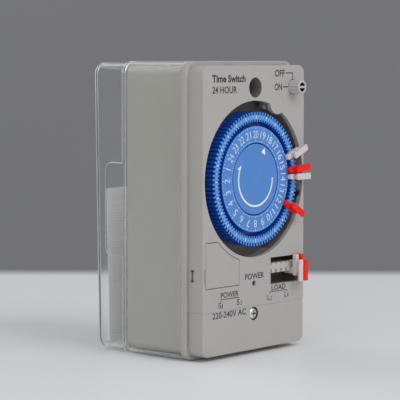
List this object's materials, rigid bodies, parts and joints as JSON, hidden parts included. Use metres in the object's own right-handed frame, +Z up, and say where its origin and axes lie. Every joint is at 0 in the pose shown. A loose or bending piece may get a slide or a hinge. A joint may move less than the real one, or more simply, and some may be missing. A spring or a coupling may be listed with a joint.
{
  "type": "programmable timer",
  "caption": "Wall or panel 24-hour time switch: case with rotating slotted dial, pull-out setters, on/off knob, terminal cover and clear dust cover.",
  "frame": {"origin": "middle of the overall box on the plane that the timer stands on, under the case", "axes": "+Z up; -Y out of the face with the dial; +X to the right of someone facing the dial"},
  "size_m": [0.0784, 0.073, 0.136],
  "materials": {
    "case_grey": "light warm grey moulded ABS, fine spark-eroded grain",
    "clear": "clear polycarbonate, polished",
    "paper": "thin folded leaflet",
    "dial_blue": "mid-blue moulded plastic, semi-gloss",
    "dial_deep": "deep blue moulded plastic, semi-gloss",
    "setter_red": "orange-red moulded plastic",
    "setter_white": "pinkish white moulded plastic",
    "black_plastic": "dark moulded plastic",
    "natural_nylon": "natural acetal",
    "zinc_steel": "bright zinc plated steel",
    "brass": "stamped brass",
    "copper_winding": "enamelled copper winding",
    "magnet": "sintered ferrite",
    "board_green": "glass-fibre board, solder mask",
    "lamp_red": "red lamp body",
    "resistor_tan": "lacquered resistor",
    "capacitor_yellow": "boxed film capacitor",
    "wire_grey": "PVC insulated leads"
  },
  "bodies": {
    "case": {"front_case": "case_grey", "rear_case": "case_grey", "setter_tray": "black_plastic", "setter_rail": "case_grey", "movement_cover": "black_plastic", "front_plate": "brass", "rear_plate": "brass", "plate_pillars": "zinc_steel", "plate_screws": "zinc_steel", "dial_post": "zinc_steel", "centre_disc": "dial_blue", "idler_arbor": "zinc_steel", "motor_can": "zinc_steel", "motor_coil": "copper_winding", "stator_poles": "zinc_steel", "rotor_arbor": "zinc_steel", "lever_pin": "zinc_steel", "lever_spring": "zinc_steel", "contact_base": "black_plastic", "fixed_contact": "brass", "terminal_block": "black_plastic", "terminal_plates": "brass", "clamp_washers": "zinc_steel", "terminal_screws": "zinc_steel", "lamp_board": "board_green", "lamp": "lamp_red", "lamp_lens": "lamp_red", "resistor": "resistor_tan", "capacitor": "capacitor_yellow", "lead_wires": "wire_grey", "case_screws": "zinc_steel"},
    "cover": {"clear_cover": "clear", "leaflet": "paper"},
    "terminal_lid": {"terminal_cover": "case_grey", "terminal_cover_screw": "zinc_steel"},
    "bay_lid": {"compartment_lid": "case_grey"},
    "dial": {"dial_drum": "dial_deep", "number_ring": "dial_blue", "dial_gear": "brass"},
    "idler": {"idler_wheel": "brass"},
    "rotor": {"motor_rotor": "magnet", "rotor_pinion": "brass"},
    "switch": {"knob": "case_grey", "knob_shaft": "zinc_steel", "star_wheel": "natural_nylon", "contact_cam": "natural_nylon"},
    "lever": {"trip_lever": "natural_nylon"},
    "leaf": {"moving_contact": "brass"},
    "pin_white_a": {"setter_white_a": "setter_white"},
    "pin_red_a": {"setter_red_a": "setter_red"},
    "pin_white_b": {"setter_white_b": "setter_white"},
    "pin_red_b": {"setter_red_b": "setter_red"},
    "pin_spare_white": {"spare_setter_white": "setter_white"},
    "pin_spare_red": {"spare_setter_red": "setter_red"}
  },
  "joints": [
    {"name": "dial_turn", "type": "hinge", "parent": "case", "child": "dial", "pos_m": [0, 0, 0.0815], "axis": [0, 1, 0], "continuous": true},
    {"name": "idler_turn", "type": "hinge", "parent": "case", "child": "idler", "pos_m": [-0.01909, 0, 0.06241], "axis": [0, 1, 0], "continuous": true},
    {"name": "rotor_turn", "type": "hinge", "parent": "case", "child": "rotor", "pos_m": [-0.00409, 0, 0.06241], "axis": [0, 1, 0], "continuous": true},
    {"name": "switch_turn", "type": "hinge", "parent": "case", "child": "switch", "pos_m": [0.0282, 0, 0.1238], "axis": [0, 1, 0], "continuous": true},
    {"name": "lever_tip", "type": "hinge", "parent": "case", "child": "lever", "pos_m": [0.0145, 0, 0.121], "axis": [0, -1, 0], "range_deg": [0, 10], "stiffness_Nm_per_rad": 0.01, "springref_deg": -11.46},
    {"name": "leaf_close", "type": "hinge", "parent": "case", "child": "leaf", "pos_m": [0.0226, 0, 0.104], "axis": [0, -1, 0], "range_deg": [0, 2], "stiffness_Nm_per_rad": 0.02, "springref_deg": -2.86},
    {"name": "cover_pull", "type": "slide", "parent": "case", "child": "cover", "axis": [0, 1, 0], "range_m": [0, 0.06]},
    {"name": "terminal_lid_pull", "type": "slide", "parent": "case", "child": "terminal_lid", "axis": [0, -1, 0], "range_m": [0, 0.045]},
    {"name": "bay_lid_pull", "type": "slide", "parent": "case", "child": "bay_lid", "axis": [0, -1, 0], "range_m": [0, 0.012]},
    {"name": "setter_white_a_pull", "type": "slide", "parent": "dial", "child": "pin_white_a", "axis": [0, -1, 0], "range_m": [0, 0.008]},
    {"name": "setter_red_a_pull", "type": "slide", "parent": "dial", "child": "pin_red_a", "axis": [0, -1, 0], "range_m": [0, 0.008]},
    {"name": "setter_white_b_pull", "type": "slide", "parent": "dial", "child": "pin_white_b", "axis": [0, -1, 0], "range_m": [0, 0.008]},
    {"name": "setter_red_b_pull", "type": "slide", "parent": "dial", "child": "pin_red_b", "axis": [0, -1, 0], "range_m": [0, 0.008]},
    {"name": "spare_white_pull", "type": "slide", "parent": "case", "child": "pin_spare_white", "axis": [0, -1, 0], "range_m": [0, 0.01]},
    {"name": "spare_red_pull", "type": "slide", "parent": "case", "child": "pin_spare_red", "axis": [0, -1, 0], "range_m": [0, 0.01]}
  ],
  "couplings": [
    {"joint": "idler_turn", "follows": "dial_turn", "ratio": -8},
    {"joint": "rotor_turn", "follows": "dial_turn", "ratio": 32}
  ]
}
